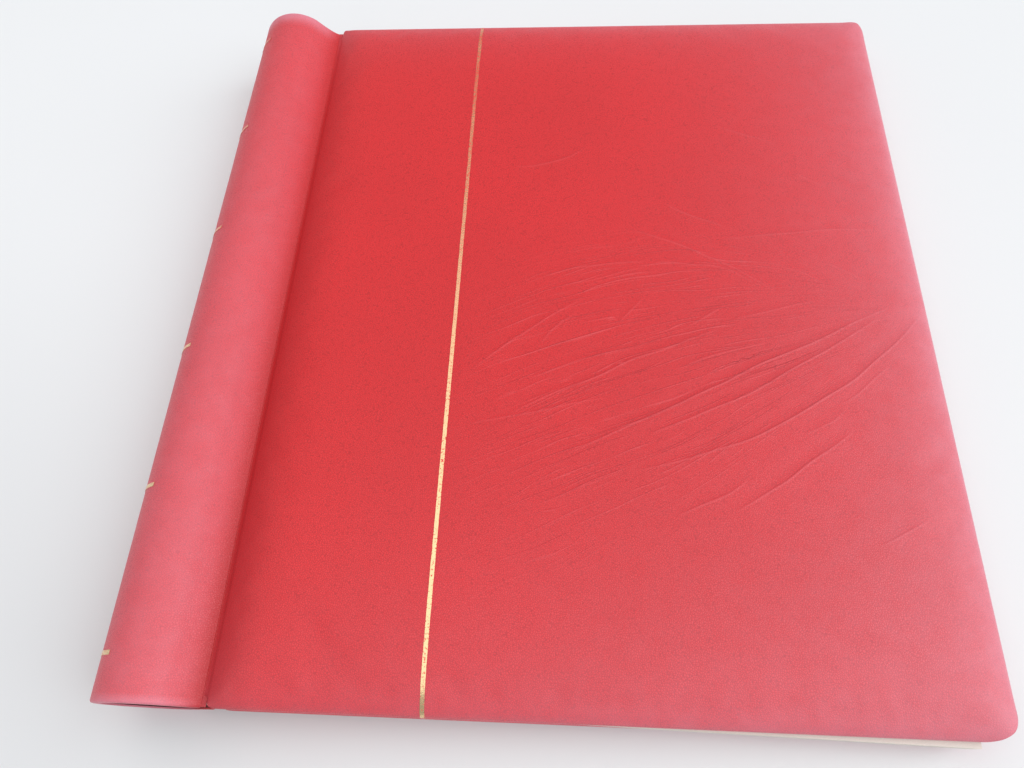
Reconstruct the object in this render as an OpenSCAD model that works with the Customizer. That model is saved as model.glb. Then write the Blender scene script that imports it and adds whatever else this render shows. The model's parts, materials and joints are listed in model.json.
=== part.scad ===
// Spring-back stamp album, closed and lying on its back cover. Millimetres.
//
// A steel spring of C section fills the round spine. Its lips grip two stiff levers, and the
// levers grip the binding guards of unpunched leaves. Each cover hinges on the leatherette that
// runs from the spine over a lever.
//
// The album is drawn in its own frame: Y runs along the spring's centre line towards the head,
// X towards the fore-edge and Z out through the front cover. Its back half mirrors its front.
// in_pose() then leans it until the spine and the back cover both touch the table at Z = 0.

/* [Covers] */
// Height of a cover, tail to head
cover_l = 317; // [220:1:380]
// Width of a cover, hinged edge to fore-edge
cover_w = 252; // [205:0.5:300]
// Radius of the two corners at the fore-edge
corner_r = 10; // [5:0.5:20]
// Radius of the two corners at the hinged edge
heel_r = 2; // [1.5:0.1:4]
// Thickness of the grey board
board_t = 2.5; // [1.8:0.1:3.5]
// Rise of the front padding from the board's edge to the middle
front_rise = 6.5; // [4:0.1:8]
// Distance from the edge over which the front padding rises
front_run = 60; // [44:1:62]
// Rise of the back padding, which the album's weight has pressed flat
back_rise = 2; // [1.5:0.1:4]
// Distance from the edge over which the back padding rises
back_run = 8; // [4:0.5:20]

/* [Coverings] */
// Thickness of the leatherette
skin_t = 0.8; // [0.5:0.05:1]
// Width of the leatherette turned in over a board
turn_in = 14; // [8:0.5:20]
// Thickness of the endpaper pasted inside a cover
lining_t = 0.3; // [0.2:0.05:0.5]
// Distance from a cover's edge to its endpaper
lining_inset = 4; // [2:0.5:7]

/* [Spine] */
// Outer radius of the spine, over the leatherette
spine_r = 17.5; // [16.8:0.1:19.5]
// Thickness of the pressboard former round the spring
former_t = 1.5; // [1:0.1:2]
// Thickness of the steel spring
spring_t = 1; // [0.6:0.1:1.4]
// Thickness of the cloth inside the spring
cloth_t = 0.4; // [0.2:0.05:0.6]
// Thickness of a lever with its covering
lever_t = 1.6; // [1.2:0.1:2]
// Width of a lever
lever_w = 17.5; // [14:0.5:18]
// Distance from the spine's side to a cover's hinge line
hinge_out = 3.2; // [3:0.1:5]
// Distance from a cover's hinge line to its edge
hinge_heel = 2.1; // [2:0.1:4]
// Width of the leatherette glued down on a lever
foot_w = 3.4; // [2.4:0.1:3.6]

/* [Leaves] */
// Leaves on each side of the block's middle
leaves_a_side = 5; // [3:1:7]
// Thickness of a card leaf
leaf_t = 0.4; // [0.3:0.05:0.5]
// Thickness of a glassine interleaf
interleaf_t = 0.1; // [0.05:0.01:0.15]
// Height of a leaf
leaf_l = 312; // [215:1:316]
// Width of a leaf from its outermost fold to its fore-edge
leaf_w = 242; // [195:1:244]
// Width of the outermost binding guard
guard_w = 22; // [18:0.5:23]
// Step between the folds of neighbouring leaves, so that they fan without binding
fold_step = 0.7; // [0.6:0.05:1]
// Border by which an interleaf is smaller than its leaf
interleaf_inset = 2; // [1:0.5:6]
// Angle by which the clamped block sits askew
skew = 1; // [0:0.1:1.2]

/* [Gold] */
// Width of the gold line on the front cover
line_w = 1.6; // [0.8:0.1:4]
// Distance from a cover's hinged edge to the gold line
line_in = 70.2; // [61:0.1:120]
// Number of gold bands across the spine
band_n = 6; // [2:1:8]
// Width of a gold band
band_w = 1.5; // [0.8:0.1:4]
// Distance from an end of the spine to the nearest band
band_margin = 14.4; // [5:0.1:40]
// Half the angle that a gold band spans round the spine's back
band_a = 60; // [20:1:80]
// Thickness of the gold foil
foil_t = 0.08; // [0.04:0.01:0.2]

/* [Clearances] */
// Film of glue between glued layers
glue_t = 0.05; // [0.02:0.01:0.08]
// Air on each side of a sheet in the block
sheet_gap = 0.05; // [0.03:0.01:0.1]
// Air between the block and what lies on it
block_gap = 0.1; // [0.05:0.01:0.3]
// Air between the two sides of a cover's hinge
hinge_gap = 0.3; // [0.2:0.05:0.5]
// Half the bare cloth at a leaf's fold
fold_gap = 0.35; // [0.3:0.05:0.45]

/* [Hidden] */
leaf_n = 2 * leaves_a_side;

function two_digits(n) = str(n < 10 ? "0" : "", n);
function leaf_name(n) = str("leaf_", two_digits(n));
function interleaf_name(n) = str("interleaf_", two_digits(n));

leather_red = "#d8323a";
gold = "#d9a860";
card = "#f2ecd8";
grey = "#9a9488";

layer_t = 0.01;       // thin slices that a padded form is hulled from
pad_steps = 8;        // slices from a padded form's edge to its crown
corner_steps = 6;     // segments in a quarter-round corner
sharp_r = 0.5;        // least radius of a corner that is drawn in
pad_power = 3;        // fullness of the padding: higher rises more steeply at the edge
arc_step = 3;         // degrees between the points of a bent sheet

// The block and what closes on it, outwards from the middle plane
leaf_pitch = leaf_t + interleaf_t + 4 * sheet_gap;
block_h = leaves_a_side * leaf_pitch;
lever_in = block_h + block_gap;
lever_out = lever_in + lever_t;
hinge_v = lever_out + skin_t / 2;

// The spine's layers, inwards from the outside
former_r = spine_r - skin_t - glue_t;
spring_r = former_r - former_t - glue_t;
cloth_r = spring_r - spring_t - glue_t;
bore_r = cloth_r - cloth_t;
tube_l = cover_l - 2 * (skin_t + glue_t);

// Across the joint, from the spine to the cover
hinge_u = spine_r + hinge_out;
cover_u = hinge_u + hinge_heel;
skin_end_u = hinge_u - skin_t / 2 - hinge_gap;
lever_end_u = skin_end_u - hinge_gap;
lever_u = lever_end_u - lever_w;
foot_u = skin_end_u - foot_w;
fore_u = cover_u + cover_w;

// Up through a cover, from its inner face
board_z = lining_t + skin_t;
board_top_z = board_z + board_t;
shoulder_z = board_top_z + glue_t;
flap_z = hinge_v - lever_in;
back_face_v = lever_in + shoulder_z + back_rise;

// The leaves, along the block
guard_u = lever_u + 1;
fold_u = guard_u + guard_w;
leaf_end_u = fold_u + leaf_w;
clamp_u = (guard_u + lever_end_u) / 2;

// The lean that brings the spine and the back cover's fore-edge down to the table together
rest_u = fore_u - back_run;
lean = asin(spine_r / norm([rest_u, back_face_v])) - atan2(back_face_v, rest_u);

// The closed album's middle on the table
left_x = -(spine_r + glue_t + foil_t);
right_x = fore_u * cos(lean) + (lever_in + shoulder_z) * sin(lean);
head_y = cover_l / 2 + glue_t + foil_t;
leaf_tail_y = leaf_l / 2 * cos(skew) + (leaf_end_u - clamp_u) * sin(skew);
tail_y = max(head_y, leaf_tail_y);
middle = [(left_x + right_x) / 2, (head_y - tail_y) / 2, -spine_r];

function on_circle(r, a) = r * [cos(a), sin(a)];
function arc(centre, r, from, to, steps) =
    [for (i = [0:steps]) centre + on_circle(r, from + (to - from) * i / steps)];

// Outline of a cover drawn in by an inset
function plan(inset) =
    let (
        x0 = inset,
        x1 = cover_w - inset,
        y1 = cover_l / 2 - inset,
        heel = max(heel_r - inset, sharp_r),
        corner = max(corner_r - inset, sharp_r)
    )
    concat(
        arc([x0 + heel, -y1 + heel], heel, 180, 270, corner_steps),
        arc([x1 - corner, -y1 + corner], corner, 270, 360, corner_steps),
        arc([x1 - corner, y1 - corner], corner, 0, 90, corner_steps),
        arc([x0 + heel, y1 - heel], heel, 90, 180, corner_steps)
    );

// Depth of a slice from the cover's edge, closer together where the padding curves most
function slice_depth(i, run) = run * pow(i / pad_steps, 2);
// Share of the padding's rise that is reached at a depth
function swell(depth, run) = sqrt(1 - pow(1 - depth / run, pad_power));

module in_pose() {
    translate(-middle) rotate([0, lean, 0]) children();
}

module cover_place(side) {
    mirror([0, 0, side < 0 ? 1 : 0]) translate([cover_u, 0, lever_in]) children();
}

module slab(inset, from, to) {
    translate([0, 0, from]) linear_extrude(to - from) polygon(plan(inset));
}

// Runs a profile drawn in X and Z along Y, centred
module along_y(length) {
    rotate([90, 0, 0]) linear_extrude(length, center = true) children();
}

// ---- Covers ----

// Closed crowned form: straight sides from the height `from`, then a swelling top
module pillow(inset, from, rise, run) {
    hull() {
        slab(inset, from, from + layer_t);
        for (i = [0:pad_steps]) {
            depth = slice_depth(i, run);
            top = shoulder_z + rise * swell(depth, run);
            slab(inset + depth, top - layer_t, top);
        }
    }
}

module board(side) {
    color(grey) in_pose() cover_place(side) slab(skin_t + glue_t, board_z, board_top_z);
}

module padding(side, rise, run) {
    color("#e8e0c8") in_pose() cover_place(side)
        pillow(skin_t + glue_t, board_top_z, rise - skin_t - glue_t, run);
}

// Leatherette edge that reaches back to the hinge line and turns there
module hinge_flap() {
    root = skin_t / 2;
    nose = arc([-hinge_heel, flap_z], skin_t / 2, 90, 270, 8);
    outline = concat([[root, flap_z + skin_t / 2]], nose, [[root, flap_z - skin_t / 2]]);
    along_y(cover_l - 2 * heel_r) polygon(outline);
}

// Leatherette over padding and board, turned in round the board's edges
module cover_skin(side, rise, run) {
    color(leather_red) in_pose() cover_place(side) {
        difference() {
            pillow(0, lining_t, rise, run);
            pillow(skin_t, board_z, rise - skin_t, run);
            slab(turn_in, 0, board_top_z);
        }
        hinge_flap();
    }
}

// Endpaper over the turned-in edges, filled up level between them
module lining(side) {
    color(card) in_pose() cover_place(side) {
        slab(lining_inset, 0, lining_t);
        slab(turn_in + glue_t, 0, board_z);
    }
}

// Edge-to-edge section of the front cover's surface at the gold line, lifted by a small height
function cover_section(lift) =
    let (
        half = cover_l / 2 + lift,
        rise = front_rise + lift,
        most = min(line_in, cover_w - line_in),
        depths = [for (i = [0:pad_steps]) slice_depth(i, front_run)],
        up = [for (d = depths) [d - half, shoulder_z + rise * swell(min(d, most), front_run)]],
        down = [for (i = [pad_steps:-1:0]) [half - depths[i], up[i].y]]
    )
    concat([[-half, board_z]], up, down, [[half, board_z]]);

module front_gold_line() {
    over = cover_section(glue_t + foil_t);
    under = cover_section(glue_t);
    closed = concat(over, [for (i = [len(under) - 1:-1:0]) under[i]]);
    color(gold) in_pose() cover_place(1) translate([line_in, 0, 0])
        rotate([90, 0, 90]) linear_extrude(line_w, center = true) polygon(closed);
}

// ---- Spine ----

// Tube along Y with a slot towards the leaves, whose lips rest on the levers
module c_tube(outer_r, thickness, length) {
    rotate([90, 0, 0]) difference() {
        cylinder(r = outer_r, h = length, center = true, $fn = 96);
        cylinder(r = outer_r - thickness, h = length + 1, center = true, $fn = 96);
        translate([0, -lever_out, -length]) cube([2 * outer_r, 2 * lever_out, 2 * length]);
    }
}

module spine_former() {
    color(grey) in_pose() c_tube(former_r, former_t, tube_l);
}

module spine_spring() {
    color("#8c9298") in_pose() c_tube(spring_r, spring_t, tube_l);
}

module spine_lining() {
    color("#7c2a30") in_pose() c_tube(cloth_r, cloth_t, tube_l);
}

// Section of the leatherette: round the spine, off it at a tangent, down to the hinge line and
// back along the lever
function spine_skin_section() =
    let (
        edge = [skin_end_u, hinge_v + skin_t / 2],
        leave_a = atan2(edge.y, edge.x) + acos(spine_r / norm(edge)),
        steps = round((360 - 2 * leave_a) / arc_step),
        inner_r = spine_r - skin_t,
        foot_top = lever_out + 0.75 * skin_t,
        crease_u = (inner_r - foot_top * sin(leave_a)) / cos(leave_a),
        foot = [[crease_u, foot_top], [foot_u, foot_top], [foot_u, lever_out], [edge.x, lever_out]]
    )
    concat(
        arc([0, 0], spine_r, leave_a, 360 - leave_a, steps),
        [[edge.x, -edge.y]],
        [for (i = [3:-1:0]) [foot[i].x, -foot[i].y]],
        arc([0, 0], inner_r, 360 - leave_a, leave_a, steps),
        foot,
        [edge]
    );

// Leatherette turned over an end of the spring and its former
module spine_rim() {
    lip_a = asin(lever_out / cloth_r) + 3;
    steps = round((360 - 2 * lip_a) / arc_step);
    outer = arc([0, 0], spine_r - skin_t / 2, lip_a, 360 - lip_a, steps);
    inner = arc([0, 0], cloth_r + glue_t, 360 - lip_a, lip_a, steps);
    along_y(skin_t) polygon(concat(outer, inner));
}

module spine_skin() {
    color(leather_red) in_pose() {
        along_y(cover_l) polygon(spine_skin_section());
        for (end = [-1, 1]) translate([0, end * (cover_l - skin_t) / 2, 0]) spine_rim();
    }
}

module spine_gold_bands() {
    pitch = (cover_l - 2 * band_margin - band_w) / (band_n - 1);
    inner_r = spine_r + glue_t;
    far = 2 * spine_r;
    wedge = [[0, 0], on_circle(far, 180 - band_a), [-2 * far, 0], on_circle(far, 180 + band_a)];
    color(gold) in_pose()
        for (i = [0:band_n - 1])
            translate([0, -cover_l / 2 + band_margin + band_w / 2 + i * pitch, 0])
                intersection() {
                    rotate([90, 0, 0]) difference() {
                        cylinder(r = inner_r + foil_t, h = band_w, center = true, $fn = 96);
                        cylinder(r = inner_r, h = band_w + 1, center = true, $fn = 96);
                    }
                    along_y(band_w + 2) polygon(wedge);
                }
}

// Stiff strip between the spring's lip and the guards
module lever(side) {
    color("#b04048") in_pose() mirror([0, 0, side < 0 ? 1 : 0])
        translate([lever_u, -tube_l / 2, lever_in]) cube([lever_w, tube_l, lever_t]);
}

// ---- Leaves ----

// Leaves are numbered from the front cover down. Each lies `rank` places in from its cover.
function leaf_side(n) = n <= leaves_a_side ? 1 : -1;
function leaf_rank(n) = n <= leaves_a_side ? n - 1 : leaf_n - n;
function leaf_fold_u(n) = fold_u + fold_step * leaf_rank(n);
function leaf_under_v(n) = block_h - leaf_pitch * leaf_rank(n) - sheet_gap - leaf_t;

module in_block(n) {
    in_pose() translate([clamp_u, 0, 0]) rotate([0, 0, -skew]) translate([-clamp_u, 0, 0])
        mirror([0, 0, leaf_side(n) < 0 ? 1 : 0]) children();
}

module sheet(from_u, to_u, length, under_v, thickness) {
    translate([from_u, -length / 2, under_v]) cube([to_u - from_u, length, thickness]);
}

module leaf(n) {
    color(card) in_block(n)
        sheet(leaf_fold_u(n) + fold_gap, leaf_end_u, leaf_l, leaf_under_v(n), leaf_t);
}

module interleaf(n) {
    under_v = leaf_under_v(n) - 2 * sheet_gap - interleaf_t;
    end_u = leaf_end_u - interleaf_inset;
    length = leaf_l - 2 * interleaf_inset;
    color("#e6e8e0") in_block(n)
        sheet(leaf_fold_u(n) + fold_gap, end_u, length, under_v, interleaf_t);
}

module leaf_guards() {
    color(card)
        for (n = [1:leaf_n])
            in_block(n) sheet(guard_u, leaf_fold_u(n) - fold_gap, leaf_l, leaf_under_v(n), leaf_t);
}

board(1);  // front_board
padding(1, front_rise, front_run);  // front_padding
cover_skin(1, front_rise, front_run);  // front_skin
lining(1);  // front_lining
front_gold_line();
board(-1);  // back_board
padding(-1, back_rise, back_run);  // back_padding
cover_skin(-1, back_rise, back_run);  // back_skin
lining(-1);  // back_lining
spine_spring();
spine_former();
spine_skin();
spine_lining();
spine_gold_bands();
lever(1);  // front_lever
lever(-1);  // back_lever
leaf_guards();
for (n = [1:leaf_n]) leaf(n);
for (n = [1:leaf_n]) interleaf(n);
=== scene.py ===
"""Looks of a spring-back stamp album: padded leatherette, gold, card, glassine and cloth."""

import json
import math

import bmesh
import bpy
import numpy as np
from mathutils import Matrix, Vector, noise


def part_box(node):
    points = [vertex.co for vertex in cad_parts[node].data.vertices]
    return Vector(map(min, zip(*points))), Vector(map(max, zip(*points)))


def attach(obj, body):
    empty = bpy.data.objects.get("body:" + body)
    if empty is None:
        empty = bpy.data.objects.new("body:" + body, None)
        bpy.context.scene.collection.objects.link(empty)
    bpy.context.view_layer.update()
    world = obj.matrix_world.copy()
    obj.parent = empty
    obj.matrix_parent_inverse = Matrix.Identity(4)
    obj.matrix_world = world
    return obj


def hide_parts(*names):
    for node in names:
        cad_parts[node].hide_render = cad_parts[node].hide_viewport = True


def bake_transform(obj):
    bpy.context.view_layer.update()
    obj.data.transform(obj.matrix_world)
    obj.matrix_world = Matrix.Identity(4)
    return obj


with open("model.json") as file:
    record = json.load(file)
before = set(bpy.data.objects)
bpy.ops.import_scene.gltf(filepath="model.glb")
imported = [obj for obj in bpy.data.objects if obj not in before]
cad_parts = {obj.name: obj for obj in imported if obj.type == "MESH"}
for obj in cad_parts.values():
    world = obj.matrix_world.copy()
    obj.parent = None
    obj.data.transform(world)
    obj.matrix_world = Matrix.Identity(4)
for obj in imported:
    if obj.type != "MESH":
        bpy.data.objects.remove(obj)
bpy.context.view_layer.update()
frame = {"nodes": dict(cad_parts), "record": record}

bl_info = {
    "name": "Spring-back Stamp Album",
    "version": (1, 0, 0),
    "blender": (4, 5, 0),
    "location": "View3D > Sidebar > Album",
    "description": "Dresses the stamp album in padded leatherette, gold, card and cloth",
    "category": "Object",
}

MM = 0.001
JOINTS = {joint["name"]: joint for joint in frame["record"]["behaviour"]["joints"]}
LEAVES = sorted(name for name in frame["nodes"] if name.startswith("leaf_") and name[5:].isdigit())

# ---- The album's own frame: X to the fore-edge, Y to the head, Z out through the front cover ----

SPINE_R = 17.5 * MM        # outer radius of the spine
HINGE_OUT = 3.2 * MM       # from the spine's side to a cover's hinge line
HEEL_OUT = 2.1 * MM        # from a hinge line to the cover's edge
LEVER_T = 1.6 * MM
SKIN_T = 0.8 * MM          # leatherette as the solids have it
GUARD_SKEW = math.radians(1)


def album_frame():
    """Matrix from the album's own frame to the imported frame, and the hinges' height in it."""
    front = Vector(JOINTS["front_cover_hinge"]["pos_m"])
    back = Vector(JOINTS["back_cover_hinge"]["pos_m"])
    up = (front - back).normalized()
    along = Vector((0, 1, 0))
    out = along.cross(up)
    middle = (front + back) / 2 - out * (SPINE_R + HINGE_OUT)
    axes = Matrix((out, along, up)).transposed().to_4x4()
    return Matrix.Translation(middle) @ axes, (front - back).length / 2


ALBUM, HINGE_V = album_frame()
HINGE_U = SPINE_R + HINGE_OUT
COVER_U = HINGE_U + HEEL_OUT
INNER_V = HINGE_V - SKIN_T / 2 - LEVER_T      # inner face of a cover
MIRROR = Matrix.Diagonal((1, 1, -1, 1))
COVER = ALBUM @ Matrix.Translation((COVER_U, 0, INNER_V))
BACK_COVER = ALBUM @ MIRROR @ Matrix.Translation((COVER_U, 0, INNER_V))


# ---- What a user would change ----

def length(name, text, mm):
    return bpy.props.FloatProperty(
        name=name, description=text, default=mm * MM, min=0, unit="LENGTH", precision=5)


def colour(name, text, rgb):
    return bpy.props.FloatVectorProperty(
        name=name, description=text, default=rgb, subtype="COLOR", size=3, min=0, max=1)


class AlbumCover(bpy.types.PropertyGroup):
    """Sizes of a padded cover."""

    height: length("Height", "Cover from tail to head", 317)
    width: length("Width", "Cover from its hinged edge to the fore-edge", 252)
    corner: length("Fore-edge corner", "Radius of the corners at the fore-edge", 10)
    heel: length("Hinged corner", "Radius of the corners at the hinged edge", 2)
    shoulder: length("Shoulder", "Height of the padding's edge over the inner face", 3.65)
    front_rise: length("Front rise", "Rise of the front padding", 6.5)
    front_run: length("Front run", "Distance over which the front padding rises", 60)
    back_rise: length("Back rise", "Rise of the back padding", 2)
    back_run: length("Back run", "Distance over which the back padding rises", 8)
    skin: length("Visible skin", "Thickness of the modelled leatherette", 0.35)
    step: length("Mesh step", "Spacing of the mesh before it is refined", 3)
    slack: length("Slack", "Furthest that the leatherette may billow from the padding", 0.45)


class AlbumSpine(bpy.types.PropertyGroup):
    """Sizes of the spine's leatherette."""

    skin: length("Visible skin", "Thickness of the modelled leatherette", 0.5)
    rim: length("Rim", "Leatherette turned over an end of the spring", 3.4)
    edge: length("Edge", "Rounding where the leatherette turns over an end", 1.1)
    step: length("Mesh step", "Spacing of the mesh along the spine", 2)
    tip_u: length("Drape's end", "Where the drape ends, from the spine's centre line", 20.4)
    tip_v: length("Drape's end height", "Height of the drape's end over the middle plane", 5.8)


class AlbumGold(bpy.types.PropertyGroup):
    """Sizes of the gold."""

    line_in: length("Line's place", "From the cover's hinged edge to the gold line", 70.2)
    line_width: length("Line's width", "Width of the gold line", 1.45)
    lift: length("Lift", "Height of the foil over the leatherette", 0.06)


class AlbumColours(bpy.types.PropertyGroup):
    """Colours of the album."""

    leather: colour("Leatherette", "Open surface of the leatherette", (0.80, 0.010, 0.014))
    # The pits' colour below is also the colour of the painted shade in the joints
    leather_deep: colour("Leatherette pits", "Pits and creases of the grain", (0.42, 0.004, 0.007))
    # Paler ridges of the creases: stretch paling, and painted highlight where light catches them
    leather_stretched_and_highlight: colour("Stretched leatherette", "Ridges of its creases", (0.92, 0.15, 0.17))
    # The pale colour of rubbing by handling and of painted sheen
    leather_rubbed_and_sheen: colour("Rubbed leatherette", "Where handling has paled it", (0.80, 0.33, 0.42))
    gold: colour("Gold", "Gold foil", (1.0, 0.72, 0.40))
    card: colour("Card", "Album leaves", (0.88, 0.85, 0.76))
    rule: colour("Ruling", "Faint ruling on the leaves", (0.50, 0.52, 0.50))
    glassine: colour("Glassine", "Interleaves", (0.93, 0.92, 0.88))
    endpaper: colour("Endpaper", "Paper inside the covers", (0.80, 0.73, 0.58))
    board: colour("Board", "Grey board", (0.24, 0.22, 0.20))
    foam: colour("Foam", "Padding", (0.72, 0.66, 0.46))
    cloth: colour("Cloth", "Book cloth on levers and inside the spine", (0.16, 0.018, 0.025))
    pressboard: colour("Pressboard", "Former of the spine", (0.30, 0.25, 0.18))
    steel: colour("Steel", "Blued spring steel", (0.20, 0.22, 0.25))
    floor: colour("Table", "Table that the album lies on", (0.88, 0.885, 0.89))


# ---- Making and shaping meshes ----

def set_mode(mode):
    bpy.ops.object.mode_set(mode=mode)


def start_clean():
    if bpy.context.object and bpy.context.object.mode != "OBJECT":
        set_mode("OBJECT")
    bpy.ops.object.select_all(action="DESELECT")


def work_on(obj):
    start_clean()
    obj.select_set(True)
    bpy.context.view_layer.objects.active = obj


def select_where(obj, kind, test):
    """In edit mode, selects the vertices, edges or faces of obj for which test is true."""
    bpy.ops.mesh.select_mode(type={"verts": "VERT", "edges": "EDGE", "faces": "FACE"}[kind])
    bpy.ops.mesh.select_all(action="DESELECT")
    mesh = bmesh.from_edit_mesh(obj.data)
    for part in getattr(mesh, kind):
        if test(part):
            part.select = True
    mesh.select_flush_mode()
    bmesh.update_edit_mesh(obj.data)


def move_selected(obj, spot):
    """In edit mode, puts each selected vertex where spot says."""
    set_mode("OBJECT")
    for vertex in obj.data.vertices:
        if vertex.select:
            vertex.co = spot(vertex)
    set_mode("EDIT")


def vectors(collection, field):
    """One row for each item of a mesh's collection."""
    flat = np.empty(len(collection) * 3)
    collection.foreach_get(field, flat)
    return flat.reshape(-1, 3)


def coordinates(obj):
    return vectors(obj.data.vertices, "co")


def vertex_normals(obj):
    return vectors(obj.data.vertex_normals, "vector")


def set_coordinates(obj, points):
    obj.data.vertices.foreach_set("co", np.asarray(points, float).ravel())
    obj.data.update()


def apply_modifier(obj, kind, name, **settings):
    work_on(obj)
    modifier = obj.modifiers.new(name, kind)
    for key, value in settings.items():
        setattr(modifier, key, value)
    bpy.ops.object.modifier_apply(modifier=modifier.name)


def smooth(obj, degrees):
    work_on(obj)
    bpy.ops.object.shade_smooth_by_angle(angle=math.radians(degrees))


def place(obj, matrix):
    """Moves the mesh, not the object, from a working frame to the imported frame."""
    obj.data.transform(matrix)
    if matrix.determinant() < 0:
        obj.data.flip_normals()
    obj.data.update()


def thicken(obj, matrix, thickness, offset, degrees):
    """Places a sheet, gives it its thickness and smooths it up to an angle."""
    place(obj, matrix)
    apply_modifier(obj, "SOLIDIFY", "Thickness", thickness=thickness, offset=offset)
    smooth(obj, degrees)


def store(obj, name, values):
    """Keeps a number or a vector for each vertex."""
    values = np.asarray(values, np.float32)
    kind, field = ("FLOAT", "value") if values.ndim == 1 else ("FLOAT_VECTOR", "vector")
    attribute = obj.data.attributes.new(name, kind, "POINT")
    attribute.data.foreach_set(field, values.ravel())


def stored(obj, name, vertex):
    """What store has kept for a vertex."""
    attribute = obj.data.attributes[name]
    entry = attribute.data[vertex.index]
    return entry.value if attribute.data_type == "FLOAT" else entry.vector


def forget(obj, *names):
    for name in names:
        if name in obj.data.attributes:
            obj.data.attributes.remove(obj.data.attributes[name])


def pushed(obj, vertex, out, axis, level):
    """A vertex's stored base, pushed out along its stored push and set to a level on one axis."""
    spot = stored(obj, "base", vertex) + stored(obj, "push", vertex) * out
    spot[axis] = level
    return spot


def finish_piece(obj, name, body, material):
    obj.name = obj.data.name = name
    obj.data.materials.clear()
    obj.data.materials.append(material)
    if body:
        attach(obj, body)


def roughness_of(points, scale, seed):
    """Smooth seeded unevenness, about -1 to 1, at each point."""
    shift = Vector((seed * 7.3, seed * 3.1, seed * 1.7))
    return np.array([noise.noise(Vector(p) * scale + shift) for p in points])


# ---- Padded covers ----

TINY = 1e-6                # keeps the powers of a depth finite at the very edge
GATHER_ZONE = 24 * MM      # how far in from an edge the mesh lines draw closer together
CLOTH_FRAMES = 20

# Outward and upward places of the leatherette from the padding's edge, round the board and in
# under it, in millimetres. At the heel it reaches out to the hinge line.
OPEN_EDGE = [(0.06, 3.0), (0.10, 2.3), (0.10, 1.6), (0.04, 1.1), (-0.08, 0.75),
             (-0.28, 0.5), (-0.7, 0.34), (-1.6, 0.32), (-4.5, 0.32), (-9, 0.32)]
HEEL_EDGE = [(0.12, 3.35), (0.45, 2.9), (0.95, 2.55), (1.5, 2.32), (1.95, 2.1),
             (1.8, 1.8), (0.8, 1.66), (-0.1, 1.35), (-0.6, 0.5), (-6, 0.32)]


def corner_radius(x, size):
    return size.corner if x > size.width / 2 else size.heel


def round_corner(x, y, size):
    """Draws the corners of a rectangular sheet in to their radii."""
    radius = corner_radius(x, size)
    in_x, in_y = min(x, size.width - x), size.height / 2 - abs(y)
    if in_x >= radius or in_y >= radius:
        return x, y
    s, t = 1 - in_x / radius, 1 - in_y / radius
    new_x = radius * (1 - s * math.sqrt(1 - t * t / 2))
    new_y = size.height / 2 - radius * (1 - t * math.sqrt(1 - s * s / 2))
    return (size.width - new_x if x > size.width / 2 else new_x), math.copysign(new_y, y)


def eased_depth(in_x, in_y):
    """How far in a point lies from two edges that meet, eased over their corner."""
    return (max(in_x, TINY) ** -4 + max(in_y, TINY) ** -4) ** -0.25


def crown(x, y, size, rise, run):
    """Height of the padded surface. Over the open edges it swells at once, and at the heel it
    comes up gently out of the joint."""
    depth = min(eased_depth(size.width - x, size.height / 2 - abs(y)) / run, 1)
    swelling = math.sqrt(1 - (1 - depth) ** 3)
    heel = 1 - (1 - min(max(x, 0) / run, 1)) ** 6
    return size.shoulder + rise * (max(swelling, 1e-4) ** -5 + max(heel, 1e-4) ** -5) ** -0.2


def gather(value, end):
    """Draws mesh lines closer together towards both edges."""
    inset = min(value, end - value)
    if inset >= GATHER_ZONE:
        return value
    eased = GATHER_ZONE * (max(inset, 0) / GATHER_ZONE) ** 1.35
    return eased if value < end / 2 else end - eased


def crowned_sheet(size, rise, run, step):
    """Grid with rounded corners, lifted into the crown of the padding, in the cover's frame."""
    start_clean()
    bpy.ops.mesh.primitive_grid_add(
        x_subdivisions=round(size.width / step), y_subdivisions=round(size.height / step), size=1)
    obj = bpy.context.object
    set_mode("EDIT")
    bpy.ops.transform.resize(value=(size.width, size.height, 1))
    bpy.ops.transform.translate(value=(size.width / 2, 0, 0))
    set_mode("OBJECT")
    for vertex in obj.data.vertices:
        x = gather(vertex.co.x, size.width)
        y = gather(vertex.co.y + size.height / 2, size.height) - size.height / 2
        x, y = round_corner(x, y, size)
        vertex.co = (x, y, crown(x, y, size, rise, run))
    return obj


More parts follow.
